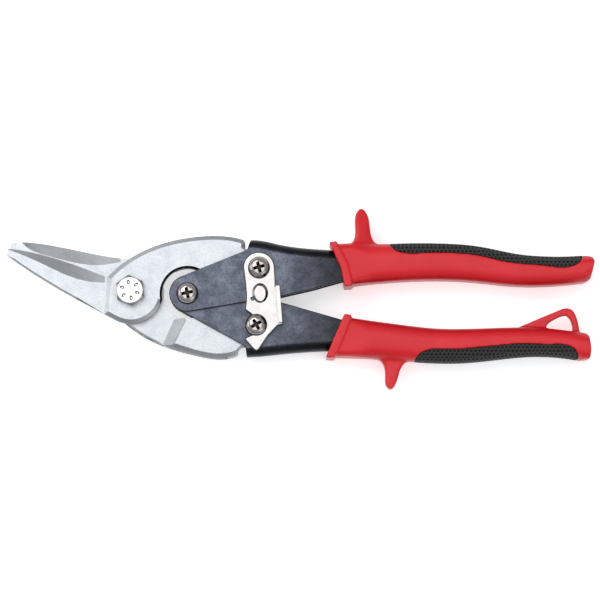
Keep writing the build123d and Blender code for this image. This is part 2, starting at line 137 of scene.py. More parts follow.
def pick_faces(piece: Piece, test: FaceTest) -> None:
    """Enter edit mode with the faces selected whose centre and normal pass the test.

    Args:
        piece: the piece to edit.
        test: takes a face's centre and normal.
    """
    take_up(piece)
    for group in (piece.data.vertices, piece.data.edges):
        for part in group:
            part.select = False
    for face in piece.data.polygons:
        face.select = test(face.center, face.normal)
    bpy.ops.object.mode_set(mode="EDIT")
    bpy.ops.mesh.select_mode(type="FACE")


def pick_edges(piece: Piece, test: EdgeTest) -> None:
    """Enter edit mode with the edges selected whose two ends pass the test.

    Args:
        piece: the piece to edit.
        test: takes the places of an edge's two ends.
    """
    take_up(piece)
    bpy.ops.object.mode_set(mode="EDIT")
    bpy.ops.mesh.select_mode(type="EDGE")
    bpy.ops.mesh.select_all(action="DESELECT")
    for edge in bmesh.from_edit_mesh(piece.data).edges:
        edge.select_set(test(edge.verts[0].co, edge.verts[1].co))
    bmesh.update_edit_mesh(piece.data)


def done_editing() -> None:
    """Leave edit mode."""
    bpy.ops.object.mode_set(mode="OBJECT")


def settle(piece: Piece) -> Piece:
    """Put a piece's place into its mesh, so that its object stands at the origin.

    Args:
        piece: the piece to settle.

    Returns:
        The same piece.
    """
    take_up(piece)
    bpy.ops.object.transform_apply(location=True, rotation=True, scale=True)
    return piece


def work(piece: Piece, kind: str, **settings: object) -> None:
    """Add one modifier, set it and apply it.

    Args:
        piece: the piece to work.
        kind: the modifier's type.
        settings: the modifier's own settings.
    """
    take_up(piece)
    modifier = piece.modifiers.new(kind.title(), kind)
    for name, value in settings.items():
        setattr(modifier, name, value)
    bpy.ops.object.modifier_apply(modifier=modifier.name)


def carve(piece: Piece, tool: Piece, how: Cut = Cut.AWAY) -> None:
    """Work a piece with a tool solid, then throw the tool away.

    Args:
        piece: the piece that is worked.
        tool: the tool solid, already in place.
        how: what the tool does.
    """
    settle(tool)
    work(piece, "BOOLEAN", operation=how.value, object=tool, solver="EXACT")
    take_up(tool)
    bpy.ops.object.delete()


def round_edges(piece: Piece, width: float, angle: float = 30, segments: int = 2,
                clamped: bool = True) -> None:
    """Round the sharp edges of a piece.

    Args:
        piece: the piece to round.
        width: width of the rounding, in metres.
        angle: edges sharper than this are rounded, in degrees.
        segments: faces across the rounding.
        clamped: whether short edges may narrow it.
    """
    work(piece, "BEVEL", width=width, segments=segments, limit_method="ANGLE",
         angle_limit=math.radians(angle), harden_normals=False, use_clamp_overlap=clamped)


@dataclass(frozen=True)
class Rim:
    """A sloped rim along part of one level face: it falls by its own width when no fall is given."""

    level: float
    width: float
    where: SpotTest
    fall: float = 0.0


def trim_outline(piece: Piece, rim: Rim, segments: int = 1) -> None:
    """Bevel the edges where a level face meets an upright wall.

    Args:
        piece: the piece to trim.
        rim: the level, the width and the places to trim.
        segments: faces across the bevel.
    """
    walls = set()
    for face in piece.data.polygons:
        if abs(face.normal.z) < UPRIGHT:
            walls.update(tuple(sorted(key)) for key in face.edge_keys)
    take_up(piece)
    for group in (piece.data.vertices, piece.data.polygons):
        for part in group:
            part.select = False
    count = 0
    for edge in piece.data.edges:
        ends = [piece.data.vertices[index].co for index in edge.vertices]
        edge.select = (tuple(sorted(edge.vertices)) in walls
                       and all(abs(end.z - rim.level) < SAME_LEVEL and rim.where(end) for end in ends))
        count += edge.select
    bpy.context.tool_settings.mesh_select_mode = (False, True, False)
    bpy.ops.object.mode_set(mode="EDIT")
    bpy.ops.mesh.bevel(offset=rim.width, segments=segments, affect="EDGES", clamp_overlap=False)
    done_editing()
    log.info("%s: %d edges trimmed", piece.name, count)


def smooth_over(piece: Piece, angle: float) -> None:
    """Shade a piece smooth, apart from edges sharper than an angle in degrees."""
    take_up(piece)
    bpy.ops.object.shade_smooth_by_angle(angle=math.radians(angle))


def copy_node(node: str, name: str) -> Piece:
    """Copy a CAD node and clean the copy into one skin.

    Args:
        node: the CAD node.
        name: the copy's name.

    Returns:
        The copy, riding on nothing yet.
    """
    take_up(frame["nodes"][node])
    bpy.ops.object.duplicate(linked=False)
    piece = newest(name)
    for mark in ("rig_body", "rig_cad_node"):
        if mark in piece:
            del piece[mark]
    bpy.ops.object.parent_clear(type="CLEAR")
    bpy.ops.mesh.customdata_custom_splitnormals_clear()
    bpy.ops.object.mode_set(mode="EDIT")
    bpy.ops.mesh.select_all(action="SELECT")
    bpy.ops.mesh.remove_doubles(threshold=SAME_SPOT)
    done_editing()
    return piece


def flatten(piece: Piece, angle: float = 0.6) -> None:
    """Merge faces that lie in one plane.

    Args:
        piece: the piece to clean.
        angle: faces closer than this are one face, in degrees.
    """
    take_up(piece)
    bpy.ops.object.mode_set(mode="EDIT")
    bpy.ops.mesh.select_all(action="SELECT")
    bpy.ops.mesh.dissolve_limited(angle_limit=math.radians(angle))
    done_editing()


def hand_over(piece: Piece, body: str, slot: str, *nodes: str) -> None:
    """Let a finished piece ride on its body and stand for its CAD nodes.

    Args:
        piece: the finished piece.
        body: the body that carries it.
        slot: not used.
        nodes: the CAD nodes that it replaces.
    """
    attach(piece, body)
    if nodes:
        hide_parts(*nodes)
    log.info("%s rides on %s with %d faces", piece.name, body, len(piece.data.polygons))


def middle(node: str) -> Vector:
    """Return the centre of a CAD node's box."""
    low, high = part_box(node)
    return (low + high) / 2


# ------------------------------------------------------------------ finishes
class Recipe:
    """The node tree of one finish, built a node at a time."""

    def __init__(self, name: str) -> None:
        """Start a material with its shader.

        Args:
            name: the material's name.
        """
        self.material = bpy.data.materials.new(name)
        self.material.use_nodes = True
        self.tree = self.material.node_tree
        self.shader = self.tree.nodes["Principled BSDF"]
        self.spot = self.add("ShaderNodeTexCoord")

    def add(self, kind: str, settings: dict | None = None, inputs: dict | None = None) -> bpy.types.Node:
        """Add a node.

        Args:
            kind: the node's type.
            settings: its own properties.
            inputs: values or linked sockets by input name or number.

        Returns:
            The node.
        """
        node = self.tree.nodes.new(kind)
        for name, value in (settings or {}).items():
            setattr(node, name, value)
        for name, value in (inputs or {}).items():
            if isinstance(value, bpy.types.NodeSocket):
                self.tree.links.new(value, node.inputs[name])
            else:
                node.inputs[name].default_value = value
        return node

    def feed(self, name: str, value: object) -> None:
        """Link a socket to one of the shader's inputs, or set the input's value."""
        if isinstance(value, bpy.types.NodeSocket):
            self.tree.links.new(value, self.shader.inputs[name])
        else:
            self.shader.inputs[name].default_value = value

    def noise(self, size: float, detail: float = 3, stretch: Triple = (1, 1, 1)) -> bpy.types.NodeSocket:
        """Cloudy variation.

        Args:
            size: size of one cloud, in metres.
            detail: octaves of finer variation.
            stretch: how much finer it is along each axis.

        Returns:
            The noise's factor.
        """
        turned = self.add("ShaderNodeMapping", inputs={
            "Vector": self.spot.outputs["Object"], "Scale": tuple(part / size for part in stretch)})
        cloud = self.add("ShaderNodeTexNoise", inputs={
            "Vector": turned.outputs["Vector"], "Scale": 1.0, "Detail": detail, "Roughness": 0.6})
        return cloud.outputs["Fac"]

    def ramp(self, factor: bpy.types.NodeSocket, stops: Stops) -> bpy.types.NodeSocket:
        """Colours along a factor.

        Args:
            factor: the factor, from 0 to 1.
            stops: places and colours.

        Returns:
            The colour.
        """
        node = self.add("ShaderNodeValToRGB", inputs={"Fac": factor})
        band = node.color_ramp
        while len(band.elements) < len(stops):
            band.elements.new(1.0)
        for element, (place, colour) in zip(band.elements, stops):
            element.position = place
            element.color = (*colour, 1.0)
        return node.outputs["Color"]

    def spread(self, factor: bpy.types.NodeSocket, low: float, high: float) -> bpy.types.NodeSocket:
        """Map the middle of a noise's range to run between two values."""
        node = self.add("ShaderNodeMapRange", inputs={
            "Value": factor, "From Min": 0.3, "From Max": 0.7, "To Min": low, "To Max": high})
        return node.outputs["Result"]

    def times(self, first: bpy.types.NodeSocket, second: bpy.types.NodeSocket) -> bpy.types.NodeSocket:
        """Multiply two colours."""
        node = self.add("ShaderNodeMix", {"data_type": "RGBA", "blend_type": "MULTIPLY"}, {
            0: 1.0, 6: first, 7: second})
        return node.outputs[2]

    def slope(self) -> bpy.types.NodeSocket:
        """How level the surface is: 1 on a level face, 0 on an upright one."""
        parts = self.add("ShaderNodeSeparateXYZ", inputs={"Vector": self.spot.outputs["Normal"]})
        size = self.add("ShaderNodeMath", {"operation": "ABSOLUTE"}, {0: parts.outputs["Z"]})
        return size.outputs["Value"]

    def along(self, start: float, end: float) -> bpy.types.NodeSocket:
        """Run from 0 at one place along X to 1 at another, in metres."""
        parts = self.add("ShaderNodeSeparateXYZ", inputs={"Vector": self.spot.outputs["Object"]})
        run = self.add("ShaderNodeMapRange", {"interpolation_type": "SMOOTHSTEP"}, {
            "Value": parts.outputs["X"], "From Min": start, "From Max": end})
        return run.outputs["Result"]

    def relief(self, height: bpy.types.NodeSocket, depth: float) -> bpy.types.NodeSocket:
        """Fine relief of a given depth, in metres, as a normal."""
        node = self.add("ShaderNodeBump", inputs={"Height": height, "Distance": depth, "Strength": 1.0})
        return node.outputs["Normal"]


@dataclass(frozen=True)
class MetalFinish:
    """A metal with cloudy tones, painted shade on its sloped faces and, when given, along X, and a fine
    grain.
    """

    name: str
    tones: Stops
    slope_shade: Stops
    roughness: tuple[float, float]
    cloud: float = 9 * MM
    grain: float = 0.5 * MM
    depth: float = 0.02 * MM
    stretch: Triple = (1, 1, 1)
    metallic: float = 1.0
    coat: float = 0.0
    speck: float = 0.88
    shade_along_x: tuple[Stops, float, float] | None = None
    ground: str = ""

    def material(self) -> bpy.types.Material:
        """Return the finish as a material."""
        recipe = Recipe(self.name)
        cloud = recipe.noise(self.cloud, 5)
        grain = recipe.noise(self.grain, 2, self.stretch)
        # Painted shade: the slope stops darken sloped and upright faces by how far they lean from level.
        tone = recipe.times(recipe.ramp(cloud, self.tones), recipe.ramp(recipe.slope(), self.slope_shade))
        specks = recipe.noise(self.grain * 1.7, 4)
        tone = recipe.times(tone, recipe.ramp(specks, ((0.38, grey(self.speck)), (0.55, grey(1.0)))))
        # Per-face tone attribute: for the jaws it carries finish tones and painted shadow round the nose
        # recess.
        if self.ground:
            worked = recipe.add("ShaderNodeAttribute", {"attribute_name": self.ground})
            dimmed = recipe.ramp(worked.outputs["Fac"], ((0.0, grey(0.0)), (1.0, grey(1.0))))
            tone = recipe.times(tone, dimmed)
        # Painted shade: the tone darkens along X between two places.
        if self.shade_along_x:
            stops, start, end = self.shade_along_x
            tone = recipe.times(tone, recipe.ramp(recipe.along(start, end), stops))
        recipe.feed("Base Color", tone)
        recipe.feed("Roughness", recipe.spread(grain, *self.roughness))
        recipe.feed("Metallic", self.metallic)
        recipe.feed("Coat Weight", self.coat)
        recipe.feed("Normal", recipe.relief(grain, self.depth))
        return recipe.material


@dataclass(frozen=True)
class PlasticFinish:
    """A moulded plastic: cloudy tones, painted shade on its sloped sides, and a faint orange peel."""

    name: str
    tones: Stops
    slope_shade: Stops
    roughness: tuple[float, float]
    peel: float = 0.9 * MM
    depth: float = 0.015 * MM

    def material(self) -> bpy.types.Material:
        """Return the finish as a material."""
        recipe = Recipe(self.name)
        cloud = recipe.noise(14 * MM, 4)
        peel = recipe.noise(self.peel, 3)
        tone = recipe.ramp(cloud, self.tones)
        # Painted shade: the slope stops darken the moulding's sloped sides.
        recipe.feed("Base Color", recipe.times(tone, recipe.ramp(recipe.slope(), self.slope_shade)))
        recipe.feed("Roughness", recipe.spread(peel, *self.roughness))
        recipe.feed("Specular IOR Level", 0.4)
        recipe.feed("Normal", recipe.relief(peel, self.depth))
        return recipe.material


@dataclass(frozen=True)
class RubberFinish:
    """A soft black pad, greyer on its raised net and dark in its cells."""

    name: str
    hollow: Colour
    crown: Colour

    def material(self) -> bpy.types.Material:
        """Return the finish as a material."""
        recipe = Recipe(self.name)
        raised = recipe.add("ShaderNodeAttribute", {"attribute_name": Pad.RELIEF})
        speck = recipe.noise(0.4 * MM, 3)
        tone = recipe.ramp(raised.outputs["Fac"], ((0.1, self.hollow), (0.9, self.crown)))
        dust = recipe.ramp(speck, ((0.3, grey(0.7)), (0.7, grey(1.0))))
        recipe.feed("Base Color", recipe.times(tone, dust))
        recipe.feed("Roughness", recipe.spread(speck, 0.5, 0.7))
        recipe.feed("Specular IOR Level", 0.25)
        recipe.feed("Normal", recipe.relief(speck, 0.03 * MM))
        return recipe.material


def grey(value: float) -> Colour:
    """Return a neutral tone."""
    return (value, value, value)


class Finishes:
    """Every finish of the tool, made once."""

    def __init__(self) -> None:
        """Make the materials."""
        self.forged = MetalFinish(
            "forged_satin",
            tones=((0.32, (0.475, 0.50, 0.525)), (0.5, (0.535, 0.56, 0.58)), (0.68, (0.575, 0.595, 0.61))),
            slope_shade=((0.0, grey(0.8)), (1.0, grey(1.0))),
            roughness=(0.34, 0.46), cloud=6 * MM, grain=0.4 * MM, depth=0.014 * MM,
            ground=Jaw.FINISH_AND_SHADE).material()
        # The blacked handles get painted shade that darkens them along X from 58 mm to 92 mm, towards the
        # grips.
        self.blacked = MetalFinish(
            "blacked_steel",
            tones=((0.34, (0.075, 0.083, 0.112)), (0.5, (0.11, 0.12, 0.158)), (0.66, (0.165, 0.178, 0.225))),
            slope_shade=((0.0, grey(0.05)), (0.6, grey(0.06)), (0.93, grey(0.12)), (0.985, grey(0.3)),
                    (0.998, grey(1.0))),
            roughness=(0.3, 0.42), cloud=6 * MM, grain=0.5 * MM, depth=0.012 * MM, metallic=0.8,
            coat=0.12, speck=0.7,
            shade_along_x=(((0.0, grey(1.0)), (0.55, grey(0.5)), (1.0, grey(0.16))), 58 * MM, 92 * MM)).material()
        self.nickel = MetalFinish(
            "bright_nickel",
            tones=((0.35, (0.58, 0.565, 0.54)), (0.65, (0.66, 0.65, 0.63))),
            slope_shade=((0.0, grey(0.10)), (0.6, grey(0.2)), (0.9, grey(0.55)), (0.985, grey(1.0))),
            roughness=(0.16, 0.26), cloud=7 * MM, grain=0.5 * MM, depth=0.005 * MM, speck=0.94).material()
        self.bolt = MetalFinish(
            "bright_zinc",
            tones=((0.35, (0.66, 0.66, 0.65)), (0.65, (0.74, 0.74, 0.73))),
            slope_shade=((0.0, grey(0.12)), (0.6, grey(0.2)), (0.93, grey(0.6)), (0.99, grey(1.0))),
            roughness=(0.2, 0.3), cloud=4 * MM, grain=0.4 * MM, depth=0.005 * MM, speck=0.94).material()
        self.screw = MetalFinish(
            "screw_nickel",
            tones=((0.35, (0.46, 0.42, 0.39)), (0.65, (0.56, 0.52, 0.49))),
            slope_shade=((0.0, grey(0.06)), (0.35, grey(0.18)), (0.75, grey(0.7)), (0.97, grey(1.0))),
            roughness=(0.12, 0.2), cloud=5 * MM, grain=0.5 * MM, depth=0.004 * MM).material()
        self.recess = MetalFinish(
            "recess_shadow",
            tones=((0.35, (0.055, 0.045, 0.04)), (0.65, (0.10, 0.085, 0.075))),
            slope_shade=((0.0, grey(1.0)), (1.0, grey(0.5))),
            roughness=(0.25, 0.4), cloud=1 * MM, grain=0.3 * MM, depth=0.01 * MM).material()
        self.plain = MetalFinish(
            "plain_steel",
            tones=((0.35, (0.36, 0.36, 0.37)), (0.65, (0.5, 0.5, 0.51))),
            slope_shade=((0.0, grey(0.8)), (1.0, grey(1.0))),
            roughness=(0.3, 0.45), cloud=3 * MM, grain=0.4 * MM, depth=0.01 * MM).material()
        self.spring = MetalFinish(
            "spring_wire",
            tones=((0.35, (0.30, 0.29, 0.28)), (0.65, (0.44, 0.43, 0.42))),
            slope_shade=((0.0, grey(0.9)), (1.0, grey(1.0))),
            roughness=(0.22, 0.34), cloud=2 * MM, grain=0.3 * MM, depth=0.008 * MM,
            stretch=(0.3, 0.3, 1)).material()
        self.red = PlasticFinish(
            "red_moulding",
            tones=((0.3, (0.62, 0.004, 0.010)), (0.7, (0.70, 0.009, 0.017))),
            slope_shade=((0.0, grey(0.62)), (0.7, grey(0.84)), (1.0, grey(1.0))),
            roughness=(0.26, 0.4)).material()
        self.pad = RubberFinish("black_pad_rubber", hollow=grey(0.0015), crown=grey(0.04)).material()

    @staticmethod
    def dress(piece: Piece, *materials: bpy.types.Material) -> None:
        """Give a new piece its finishes, the main one first."""
        piece.data.materials.clear()
        for material in materials:
            piece.data.materials.append(material)

    @staticmethod
    def redress(node: str, material: bpy.types.Material) -> None:
        """Give a CAD node that stays a better finish in each of its slots."""
        for held in frame["nodes"][node].material_slots:
            held.material = material
        log.info("%s keeps its own shape", node)


# ------------------------------------------------------------------ forged jaws
class Tone(Enum):
    """How light each kind of forged surface is."""

    FLAT = 1.0
    BLADE = 0.8
    SLOPED = 0.78
    RAMP = 0.5
    WALL = 0.42
    SHADOW = 0.07


@dataclass
class Jaw:
    """A forged jaw: a satin face with a sloped rim, ground blade and softened edges."""

    FINISH_AND_SHADE = "finish_and_shade_tone"
    DEAD_LEVEL = 0.999
    NOT_LEVEL = 0.8
    LEVEL_FROM = 0.99
    RAMP_FROM = 0.96
    BLADE_FROM = 0.915
    SLOPED_FROM = 0.6
    BLADE_ROOT = -10.6 * MM
    RECESS_REACH = 12.2 * MM
    STEP_ALONG = (-13 * MM, -8.8 * MM)
    STEP_ACROSS = (-9.3 * MM, 5.4 * MM)

    node: str
    rims: tuple[Rim, ...]
    chamfers: tuple[Rim, ...]
    recess: Vector
    softness: float = 0.16 * MM

    def slope(self, piece: Piece, rim: Rim) -> None:
        """Inset a level face, then let its outline fall.

        Args:
            piece: the jaw.
            rim: the rim to form.
        """
        pick_faces(piece, lambda spot, normal:
                   normal.z > self.DEAD_LEVEL and abs(spot.z - rim.level) < SAME_LEVEL)
        bpy.ops.mesh.inset(thickness=rim.width, use_even_offset=True)
        shape = bmesh.from_edit_mesh(piece.data)
        inner = {vertex for face in shape.faces if face.select for vertex in face.verts}
        outline = [vertex for vertex in shape.verts
                   if abs(vertex.co.z - rim.level) < SAME_LEVEL and vertex not in inner
                   and rim.where(vertex.co)
                   and any(abs(face.normal.z) < self.NOT_LEVEL for face in vertex.link_faces)]
        bpy.ops.mesh.select_mode(type="VERT")
        bpy.ops.mesh.select_all(action="DESELECT")
        for vertex in outline:
            vertex.select_set(True)
        bmesh.update_edit_mesh(piece.data)
        bpy.ops.transform.translate(value=(0, 0, -rim.fall))
        done_editing()
        log.info("%s: %d points of the rim fall", piece.name, len(outline))

    def tone(self, spot: Vector, rise: float) -> Tone:
        """Tone of one face: forged flats are light; ground, sloped and upright faces are darker; faces round
        the nose recess get painted shadow.

        Args:
            spot: the face's centre.
            rise: how level the face is, from 0 to 1.

        Returns:
            The face's tone.
        """
        if rise > self.LEVEL_FROM:
            return Tone.FLAT
        if (spot - self.recess).xy.length < self.RECESS_REACH:
            return Tone.SHADOW
        if rise > self.RAMP_FROM:
            return Tone.RAMP
        if rise > self.BLADE_FROM and spot.x < self.BLADE_ROOT:
            return Tone.BLADE
        if rise > self.SLOPED_FROM:
            on_step = (self.STEP_ALONG[0] < spot.x < self.STEP_ALONG[1]
                       and self.STEP_ACROSS[0] < spot.y < self.STEP_ACROSS[1])
            return Tone.FLAT if on_step else Tone.SLOPED
        return Tone.WALL

    def build(self, finishes: Finishes) -> None:
        """Model the jaw from its CAD shape.

        Args:
            finishes: the tool's finishes.
        """
        piece = copy_node(self.node, f"{self.node}_forging")
        flatten(piece)
        for rim in self.rims:
            self.slope(piece, rim)
        for rim in self.chamfers:
            trim_outline(piece, rim)
        round_edges(piece, self.softness, angle=30)
        smooth_over(piece, 9)
        work(piece, "WEIGHTED_NORMAL", keep_sharp=True)
        # Per-face tone: forged flats light; ground, sloped and upright faces darker; painted shadow on faces
        # round the nose recess.
        worked = piece.data.attributes.new(self.FINISH_AND_SHADE, "FLOAT", "FACE")
        for face in piece.data.polygons:
            worked.data[face.index].value = self.tone(face.center, abs(face.normal.z)).value
        finishes.dress(piece, finishes.forged)
        hand_over(piece, self.node, "forged_steel", self.node)


# ------------------------------------------------------------------ pressed handles
@dataclass
class Handle:
    """A pressed and blacked handle with softened sheet edges."""

    node: str
    softness: float = 0.3 * MM

    def build(self, finishes: Finishes) -> None:
        """Model the handle from its CAD shape.

        Args:
            finishes: the tool's finishes.
        """
        piece = copy_node(self.node, f"{self.node}_pressing")
        flatten(piece)
        round_edges(piece, self.softness, angle=40, clamped=False)
        smooth_over(piece, 20)
        work(piece, "WEIGHTED_NORMAL", keep_sharp=True)
        finishes.dress(piece, finishes.blacked)
        hand_over(piece, self.node, "black_oxide", self.node)


# ------------------------------------------------------------------ grips
class Crown:
    """The swell of a grip: full along the middle, thinner towards both edges."""

    STEP = 1 * MM
    MID = 9 * MM
    SKIN = 7.2 * MM
    NEIGHBOURS = 2
    OVERHANG = 1.1
    GROWTH = 8 * MM
    ROUNDNESS = 2.4

    def __init__(self, pieces: list[Piece], start: float, drop: float) -> None:
        """Measure the grip's width all along it.

        Args:
            pieces: the moulding and its pad.
            start: where along X the swell begins.
            drop: how much of the thickness is gone at the edges, from 0 to 1.
        """
        self.start = start
        self.drop = drop
        self.edges: dict[int, list[float]] = {}
        for piece in pieces:
            for vertex in piece.data.vertices:
                if abs(vertex.co.z - self.MID) > self.SKIN:
                    across = vertex.co.y
                    pair = self.edges.setdefault(round(vertex.co.x / self.STEP), [across, across])
                    pair[0] = min(pair[0], across)
                    pair[1] = max(pair[1], across)

    def width_at(self, along: float) -> tuple[float, float]:
        """Return the grip's two edges at a place along X, averaged over its neighbours."""
        here = round(along / self.STEP)
        pairs = [self.edges[near] for near in range(here - self.NEIGHBOURS, here + self.NEIGHBOURS + 1)
                 if near in self.edges]
        pairs = pairs or [self.edges[min(self.edges, key=lambda near: abs(near - here))]]
        return (sum(pair[0] for pair in pairs) / len(pairs), sum(pair[1] for pair in pairs) / len(pairs))

    def shape(self, piece: Piece) -> None:
        """Press the swell into a piece."""
        for vertex in piece.data.vertices:
            low, high = self.width_at(vertex.co.x)
            across = min(self.OVERHANG, abs(2 * (vertex.co.y - low) / (high - low) - 1))
            grown = min(1.0, max(0.0, (vertex.co.x - self.start) / self.GROWTH))
            squeeze = 1 - self.drop * grown * across ** self.ROUNDNESS
            vertex.co.z = self.MID + (vertex.co.z - self.MID) * squeeze


@dataclass
class Moulding:
    """The red moulding of a grip: softened all over, and blended round the root of its finger guard."""

    node: str
    guard_root: Vector
    reach: float = 9.5 * MM
    voxel: float = 0.45 * MM
    softening: int = 4
    blending: int = 45

    def rough(self) -> Piece:
        """Return an even skin over the CAD shape."""
        piece = copy_node(self.node, f"{self.node}_moulding")
        work(piece, "REMESH", mode="VOXEL", voxel_size=self.voxel)
        return piece

    def finish(self, piece: Piece) -> None:
        """Soften the moulding and blend its guard's root.

        Args:
            piece: the rough moulding.
        """
        root = piece.vertex_groups.new(name="guard_root")
        for vertex in piece.data.vertices:
            away = (vertex.co.xy - self.guard_root.xy).length
            weight = max(0.0, 1.0 - (away / self.reach) ** 2)
            if weight:
                root.add([vertex.index], weight, "REPLACE")
        work(piece, "SMOOTH", factor=EASE, iterations=self.blending, vertex_group="guard_root")
        work(piece, "SMOOTH", factor=EASE, iterations=self.softening)
        take_up(piece)
        bpy.ops.object.shade_smooth()


@dataclass
class Pad:
    """A rubber pad let into a grip, with a raised net of small round cells."""

    RELIEF = "pad_relief"

    node: str
    voxel: float = 0.25 * MM
    softening: int = 12
    pitch: float = 1.75 * MM
    cell: float = 0.6 * MM
    wall: float = 0.28 * MM
    depth: float = 0.32 * MM

    def rough(self) -> Piece:
        """Return an even skin over the CAD shape."""
        piece = copy_node(self.node, f"{self.node}_rubber")
        work(piece, "REMESH", mode="VOXEL", voxel_size=self.voxel)
        return piece

    def net(self, across: float, along: float) -> float:
        """Height of the net at a place on the pad.

        Args:
            across: place across the rows, in metres.
            along: place along the rows, in metres.

        Returns:
            1 on the net, 0 in the middle of a cell.
        """
        row_step = self.pitch * math.sqrt(3) / 2
        row = round(across / row_step)
        nearest = self.pitch
        for near_row in (row - 1, row, row + 1):
            shift = self.pitch / 2 if near_row % 2 else 0.0
            column = round((along - shift) / self.pitch)
            away = math.hypot(across - near_row * row_step, along - shift - column * self.pitch)
            nearest = min(nearest, away)
        return min(1.0, max(0.0, (nearest - self.cell + self.wall / 2) / self.wall))

    def finish(self, piece: Piece) -> None:
        """Soften the pad, then press the cells of its net.

        Args:
            piece: the rough pad.
        """
        work(piece, "SMOOTH", factor=EASE, iterations=self.softening)
        raised = piece.data.attributes.new(self.RELIEF, "FLOAT", "POINT")
        normals = [vertex.normal.copy() for vertex in piece.data.vertices]
        for vertex, normal in zip(piece.data.vertices, normals):
            across = vertex.co.y if abs(normal.z) > abs(normal.y) else vertex.co.z
            height = self.net(across, vertex.co.x)
            raised.data[vertex.index].value = height
            vertex.co -= normal * self.depth * (1.0 - height)
        take_up(piece)
        bpy.ops.object.shade_smooth()


@dataclass
class Grip:
    """One grip: its moulding and its pad, swelled together."""

    name: str
    body: str
    guard_root: Vector
    swell_start: float
    drop: float = 0.22

    def build(self, finishes: Finishes) -> None:
        """Model and dress both pieces.

        Args:
            finishes: the tool's finishes.
        """
        moulding = Moulding(self.name, self.guard_root)
        pad = Pad(f"{self.name}_pad")
        red, black = moulding.rough(), pad.rough()
        crown = Crown([red, black], self.swell_start, self.drop)
        crown.shape(red)
        crown.shape(black)
        moulding.finish(red)
        pad.finish(black)
        finishes.dress(red, finishes.red)
        finishes.dress(black, finishes.pad)
        hand_over(red, self.body, "red_plastic", moulding.node)
        hand_over(black, self.body, "black_pad", pad.node)


# ------------------------------------------------------------------ hardware
@dataclass
class PanScrew:
    """A pan-head screw with a tapered cross recess."""

    node: str
    body: str
    turn: float
    head_r: float = 4.7 * MM
    head_t: float = 3.1 * MM
    shank_r: float = 2.5 * MM
    dome: float = 2.95 * MM
    wing: float = 5.4 * MM
    slot_width: float = 1.55 * MM
    slot_depth: float = 1.9 * MM
    over: float = 0.1
    taper: float = 0.42
    edge: float = 0.15 * MM
    shadow_below: float = 0.2 * MM
    shadow_reach: float = 0.49

    def cross(self, centre: Vector, angle: float) -> Piece:
        """Make one arm of the driver that leaves the recess.

        Args:
            centre: middle of the head's top.
            angle: the arm's turn about the screw's axis.

        Returns:
            The arm.
        """
        place = (centre.x, centre.y, centre.z - self.slot_depth / 2 + self.slot_depth * self.over)
        bpy.ops.mesh.primitive_cube_add(size=1.0, location=place, rotation=(0, 0, angle),
                                        scale=(self.wing, self.slot_width,
                                               self.slot_depth * (1 + 2 * self.over)))
        arm = settle(newest("driver_arm"))
        pick_faces(arm, lambda spot, normal: normal.z < -FACING)
        bpy.ops.transform.resize(value=(self.taper, self.taper, 1), center_override=tuple(centre))
        done_editing()
        return arm

    def build(self, finishes: Finishes) -> None:
        """Model the screw where its CAD node is.

        Args:
            finishes: the tool's finishes.
        """
        low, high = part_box(self.node)
        centre = Vector(((low.x + high.x) / 2, (low.y + high.y) / 2, high.z))
        put_down()
        bpy.ops.mesh.primitive_cylinder_add(
            vertices=FINE_ROUND, radius=self.head_r, depth=self.head_t,
            location=(centre.x, centre.y, centre.z - self.head_t / 2))
        piece = settle(newest(f"{self.node}_turned"))
        pick_edges(piece, lambda a, b: min(a.z, b.z) > high.z - SAME_SPOT)
        bpy.ops.mesh.bevel(offset=self.dome, segments=9, affect="EDGES", clamp_overlap=True)
        done_editing()
        pick_faces(piece, lambda spot, normal: normal.z < -FACING)
        bpy.ops.mesh.inset(thickness=self.head_r - self.shank_r)
        bpy.ops.mesh.extrude_region_move(
            TRANSFORM_OT_translate={"value": (0, 0, low.z + self.head_t - high.z)})
        done_editing()
        round_edges(piece, self.edge, angle=50)
        for angle in (self.turn, self.turn + 90):
            carve(piece, self.cross(centre, math.radians(angle)))
        smooth_over(piece, 32)
        finishes.dress(piece, finishes.screw, finishes.recess)
        for face in piece.data.polygons:
            sunk = face.center.z < high.z - self.shadow_below
            inside = (face.center - centre).xy.length < self.wing * self.shadow_reach
            face.material_index = int(sunk and inside)
        hand_over(piece, self.body, "bright_plating", self.node)


